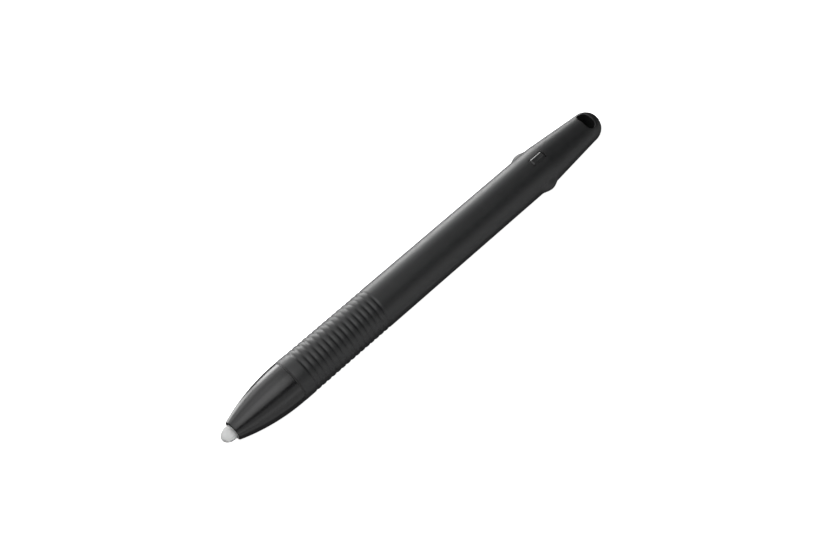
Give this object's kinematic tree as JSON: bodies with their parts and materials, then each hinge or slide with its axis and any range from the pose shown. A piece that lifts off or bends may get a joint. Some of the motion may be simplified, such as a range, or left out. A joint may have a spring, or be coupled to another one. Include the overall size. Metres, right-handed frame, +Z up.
{
  "type": "digitizer stylus",
  "caption": "Slim digitizer stylus with a screw-off nose cone, sprung nib, ring-grooved grip, two side bumps and a tether slot across its tapered tail.",
  "frame": {"origin": "middle of the pen's length, on the flat that it rests on", "axes": "+X from the nib to the tail, +Z up through the tether slot, the side bumps point along +Y and -Y"},
  "size_m": [0.114, 0.0118, 0.0101],
  "materials": {
    "barrel_plastic": "satin black, very fine moulded texture",
    "nose_plastic": "polished black",
    "nib_plastic": "translucent light grey, slightly worn",
    "seal_rubber": "matte black rubber",
    "silicone": "milky silicone",
    "natural_plastic": "natural acetal",
    "grey_plastic": "dark grey moulded plastic",
    "chassis_plastic": "black moulded plastic",
    "ferrite": "sintered, dark grey",
    "copper_wire": "enamelled copper wire",
    "film": "amber polyimide film",
    "ceramic": "fired ceramic",
    "bronze": "stamped phosphor bronze",
    "board": "green solder mask",
    "chip_black": "moulded epoxy",
    "chip_ceramic": "brown ceramic with tinned ends",
    "foam": "closed-cell foam"
  },
  "bodies": {
    "barrel": {"barrel": "barrel_plastic", "nose_damper": "silicone", "ferrite_core": "ferrite", "coil_winding": "copper_wire", "coil_sleeve": "film", "core_cushion": "silicone", "sensor_housing": "grey_plastic", "rubber_electrode": "seal_rubber", "spacer_ring": "film", "ceramic_disc": "ceramic", "front_terminal": "bronze", "rear_terminal": "bronze", "sensor_plug": "natural_plastic", "chassis": "chassis_plastic", "circuit_board": "board", "control_chip": "chip_black", "trimmer_capacitor": "ceramic", "chip_capacitor_1": "chip_ceramic", "chip_capacitor_2": "chip_ceramic", "chip_capacitor_3": "chip_ceramic", "chip_capacitor_4": "chip_ceramic", "chip_capacitor_5": "chip_ceramic", "lead_wire_left": "copper_wire", "lead_wire_right": "copper_wire", "rear_damper": "foam"},
    "writing_tip": {"nib": "nib_plastic", "nib_holder": "natural_plastic"},
    "seal_ring": {"nose_seal": "seal_rubber"},
    "nose": {"nose_cone": "nose_plastic", "nib_guide": "natural_plastic"}
  },
  "joints": [
    {"name": "nib_press", "type": "slide", "parent": "barrel", "child": "writing_tip", "axis": [1, 0, 0], "range_m": [0, 0.0003], "stiffness_N_per_m": 2000, "springref_m": -0.00015, "deforming": ["rubber_electrode"]},
    {"name": "nose_advance", "type": "slide", "parent": "barrel", "child": "seal_ring", "axis": [-1, 0, 0], "range_m": [0, 0.0045]},
    {"name": "nose_turn", "type": "hinge", "parent": "seal_ring", "child": "nose", "pos_m": [-0.0388, 0, 0.00496], "axis": [-1, 0, 0], "range_deg": [0, 2160.5]}
  ],
  "couplings": [
    {"joint": "nose_turn", "follows": "nose_advance", "rad_per_m": 8377.6}
  ]
}
